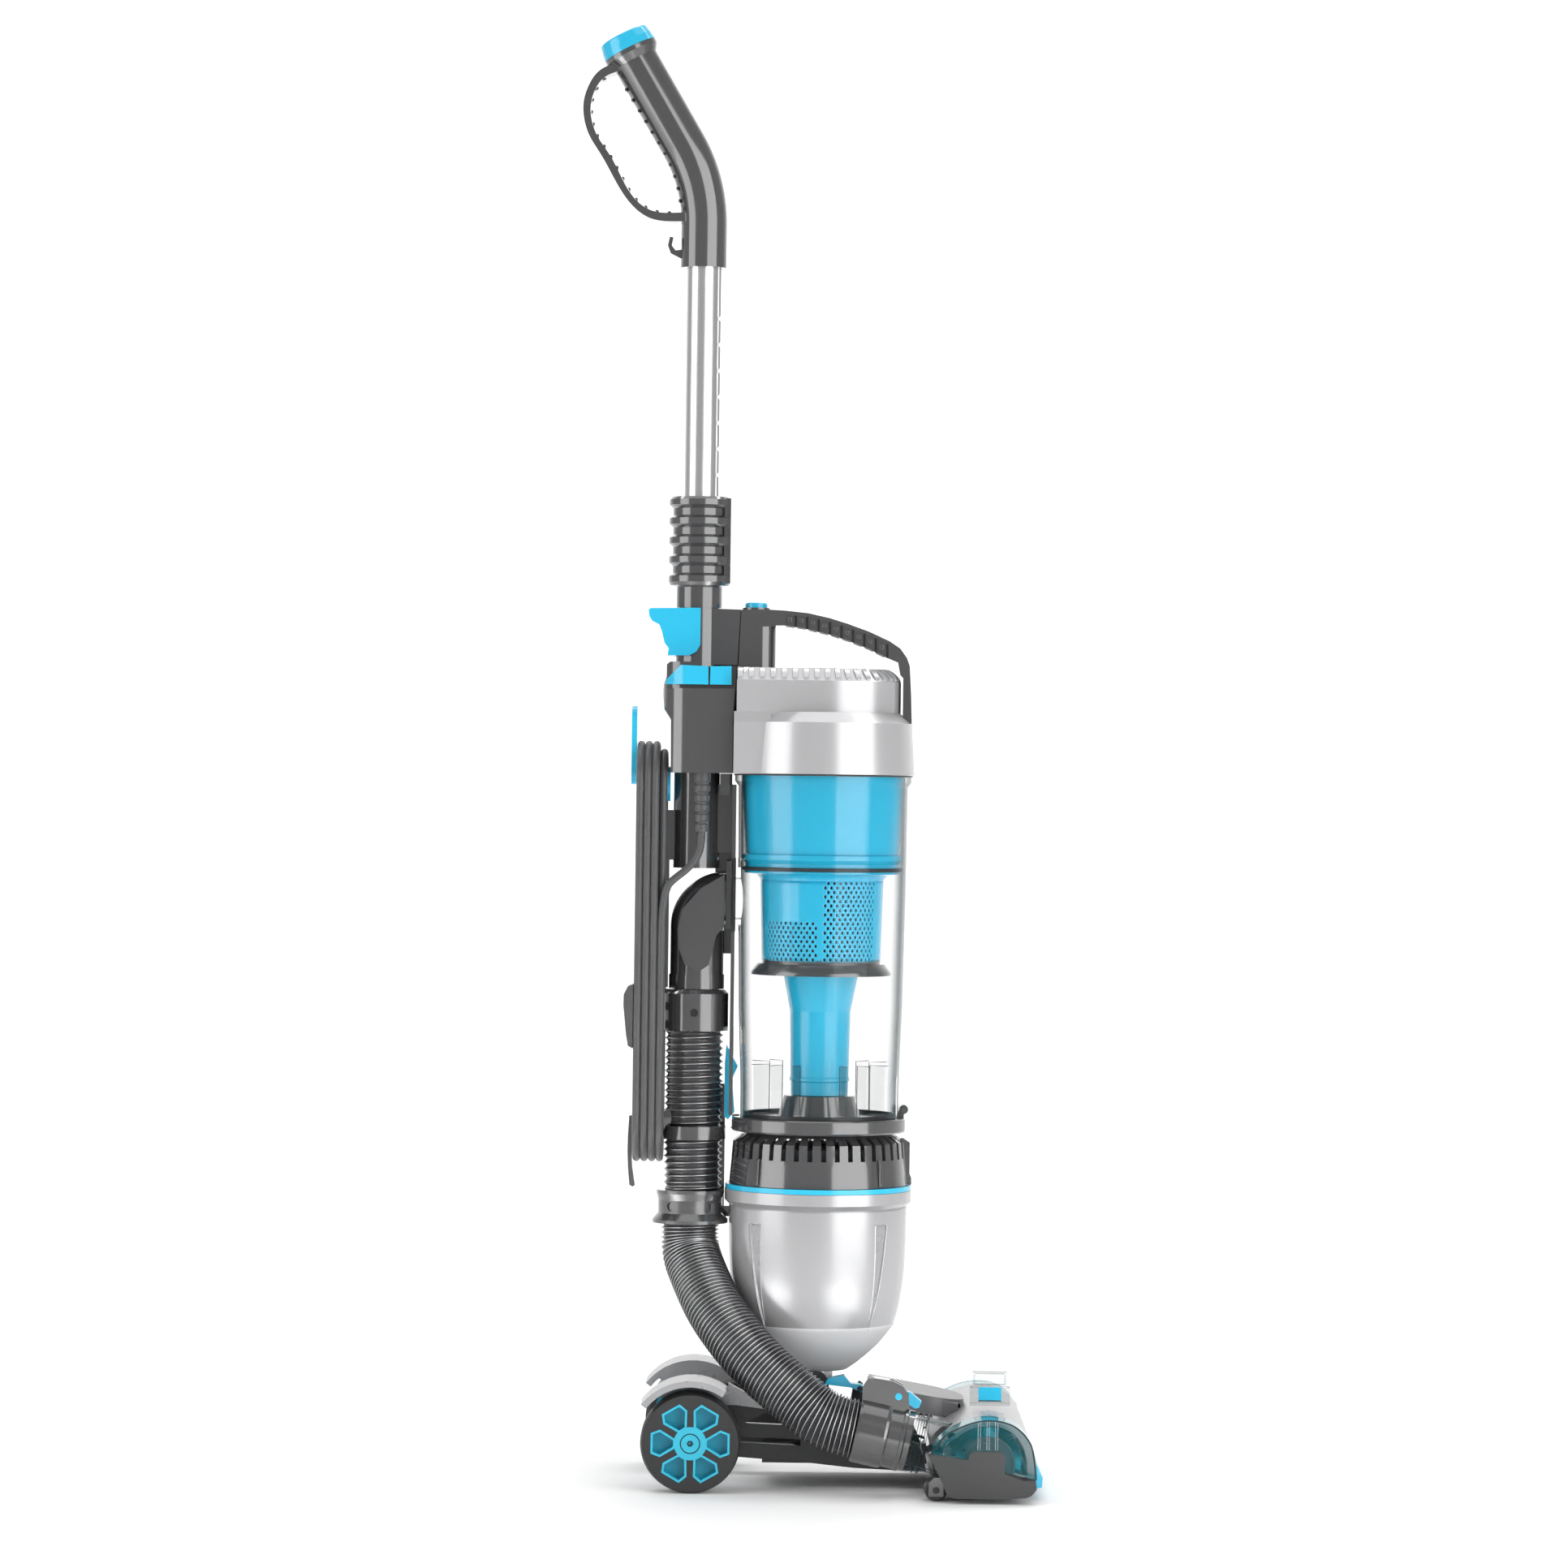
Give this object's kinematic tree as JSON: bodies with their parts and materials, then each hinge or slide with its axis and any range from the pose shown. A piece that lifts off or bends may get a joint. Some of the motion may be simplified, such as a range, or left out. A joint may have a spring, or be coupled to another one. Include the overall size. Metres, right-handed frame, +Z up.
{
  "type": "upright vacuum cleaner",
  "caption": "Upright cleaner with clear cyclone bin, telescopic wand handle, ribbed hose, wound mains cord and a low brush nozzle on two rear wheels.",
  "frame": {"origin": "on the floor, under the middle of the whole cleaner", "axes": "+Z up, +X forward over the nozzle, +Y to the cleaner's left"},
  "size_m": [0.3593, 0.262, 1.109],
  "materials": {
    "cyan_plastic": "gloss",
    "dark_plastic": "gloss",
    "black_frame": "satin",
    "silver_paint": "metallic paint",
    "grey_metallic": "metallic paint",
    "steel_tube": "polished",
    "clear_plastic": "clear",
    "smoke_hose": "smoke clear",
    "cord_rubber": "matte",
    "tyre_rubber": "matte",
    "foam": "open foam",
    "motor_metal": "satin",
    "belt_rubber": "matte"
  },
  "bodies": {
    "chassis": {"chassis_frame": "black_frame", "chassis_cover": "silver_paint", "neck_fairing": "grey_metallic", "nozzle_base": "dark_plastic", "nozzle_cover": "silver_paint", "end_windows": "clear_plastic", "end_caps": "dark_plastic", "bumper_strip": "cyan_plastic", "brush_motor": "motor_metal", "drive_belt": "belt_rubber", "duct_neck": "clear_plastic", "lower_cuff": "dark_plastic", "hose_flex": "smoke_hose"},
    "wheel_left": {"tyre_left": "tyre_rubber", "hub_left": "cyan_plastic"},
    "wheel_right": {"tyre_right": "tyre_rubber", "hub_right": "cyan_plastic"},
    "brush": {"brush_bar": "cyan_plastic"},
    "pulley": {"motor_pulley": "motor_metal"},
    "rollers": {"nozzle_rollers": "black_frame"},
    "latch": {"window_latch": "clear_plastic", "latch_insert": "cyan_plastic"},
    "pedal": {"recline_pedal": "cyan_plastic"},
    "cuff_release": {"cuff_lever": "cyan_plastic"},
    "body": {"motor_bowl": "silver_paint", "trim_ring": "cyan_plastic", "motor_can": "motor_metal", "exhaust_housing": "dark_plastic", "exhaust_filter": "foam", "spine": "dark_plastic", "rear_housing": "dark_plastic", "inlet_elbow": "dark_plastic", "inlet_gasket": "belt_rubber", "hose_cuff": "dark_plastic", "hose_straight": "smoke_hose", "hose_collar": "dark_plastic", "lower_hook": "dark_plastic", "strain_relief": "cord_rubber", "cord_lead": "cord_rubber", "cord_hank": "cord_rubber", "plug": "cord_rubber"},
    "fan": {"motor_fan": "motor_metal"},
    "power_switch": {"power_paddle": "cyan_plastic"},
    "brush_switch": {"brush_paddle": "cyan_plastic"},
    "cord_hook": {"upper_hook": "cyan_plastic"},
    "wand_release": {"wand_lever": "cyan_plastic"},
    "bin": {"bin_wall": "clear_plastic", "cyclone_cone": "cyan_plastic", "shroud": "dark_plastic", "dust_tube": "cyan_plastic", "bin_lid": "silver_paint", "foam_filter": "foam", "carry_handle": "dark_plastic"},
    "door": {"bin_door": "dark_plastic"},
    "catch": {"bin_catch": "cyan_plastic"},
    "button": {"release_button": "cyan_plastic"},
    "wand": {"grip_collar": "dark_plastic"},
    "handle": {"wand_tube": "steel_tube", "handle_grip": "dark_plastic", "handle_cap": "cyan_plastic"}
  },
  "joints": [
    {"name": "recline", "type": "hinge", "parent": "chassis", "child": "body", "pos_m": [0.01, 0, 0.076], "axis": [0, -1, 0], "range_deg": [0, 45], "deforming": ["hose_flex"]},
    {"name": "wheel_left_spin", "type": "hinge", "parent": "chassis", "child": "wheel_left", "pos_m": [-0.0837, 0.078, 0.0375], "axis": [0, 1, 0], "continuous": true},
    {"name": "wheel_right_spin", "type": "hinge", "parent": "chassis", "child": "wheel_right", "pos_m": [-0.0837, -0.078, 0.0375], "axis": [0, 1, 0], "continuous": true},
    {"name": "brush_spin", "type": "hinge", "parent": "chassis", "child": "brush", "pos_m": [0.1385, 0, 0.029], "axis": [0, 1, 0], "continuous": true},
    {"name": "pulley_spin", "type": "hinge", "parent": "chassis", "child": "pulley", "pos_m": [0.072, 0.037, 0.042], "axis": [0, 1, 0], "continuous": true},
    {"name": "roller_spin", "type": "hinge", "parent": "chassis", "child": "rollers", "pos_m": [0.0996, 0, 0.0087], "axis": [0, 1, 0], "continuous": true},
    {"name": "latch_tilt", "type": "hinge", "parent": "chassis", "child": "latch", "pos_m": [0.141, -0.05668, 0.06691], "axis": [1, 0, 0], "range_deg": [0, 50]},
    {"name": "pedal_press", "type": "hinge", "parent": "chassis", "child": "pedal", "pos_m": [0.043, -0.055, 0.0765], "axis": [0, -1, 0], "range_deg": [0, 10], "stiffness_Nm_per_rad": 0.3},
    {"name": "cuff_lever_press", "type": "hinge", "parent": "chassis", "child": "cuff_release", "pos_m": [0.0715, -0.09, 0.0754], "axis": [0, 1, 0], "range_deg": [0, 5], "stiffness_Nm_per_rad": 0.2},
    {"name": "fan_spin", "type": "hinge", "parent": "body", "child": "fan", "pos_m": [0.01, 0, 0.2], "axis": [0, 0, 1], "continuous": true},
    {"name": "power_press", "type": "hinge", "parent": "body", "child": "power_switch", "pos_m": [-0.094, -0.0235, 0.606], "axis": [1, 0, 0], "range_deg": [0, 6], "stiffness_Nm_per_rad": 0.5},
    {"name": "brush_press", "type": "hinge", "parent": "body", "child": "brush_switch", "pos_m": [-0.069, -0.0235, 0.606], "axis": [1, 0, 0], "range_deg": [0, 6], "stiffness_Nm_per_rad": 0.5},
    {"name": "hook_swivel", "type": "hinge", "parent": "body", "child": "cord_hook", "pos_m": [-0.12, 0, 0.53], "axis": [1, 0, 0], "range_deg": [0, 180]},
    {"name": "wand_lever_tilt", "type": "hinge", "parent": "body", "child": "wand_release", "pos_m": [-0.09, 0, 0.632], "axis": [0, -1, 0], "range_deg": [0, 6], "stiffness_Nm_per_rad": 1},
    {"name": "bin_lift", "type": "slide", "parent": "body", "child": "bin", "axis": [0.6, 0, 0.8], "range_m": [0, 0.2]},
    {"name": "door_swing", "type": "hinge", "parent": "bin", "child": "door", "pos_m": [0.0744, 0, 0.284], "axis": [0, -1, 0], "range_deg": [0, 68]},
    {"name": "catch_slide", "type": "slide", "parent": "bin", "child": "catch", "axis": [0, 0, -1], "range_m": [0, 0.0045], "stiffness_N_per_m": 200},
    {"name": "button_press", "type": "slide", "parent": "bin", "child": "button", "axis": [0, 0, -1], "range_m": [0, 0.003], "stiffness_N_per_m": 300},
    {"name": "wand_lift", "type": "slide", "parent": "body", "child": "wand", "axis": [0, 0, 1], "range_m": [0, 0.2]},
    {"name": "handle_slide", "type": "slide", "parent": "wand", "child": "handle", "axis": [0, 0, -1], "range_m": [0, 0.165]}
  ],
  "couplings": [
    {"joint": "pulley_spin", "follows": "brush_spin", "ratio": 2},
    {"joint": "door_swing", "follows": "bin_lift", "rad_per_m": 5.9}
  ]
}
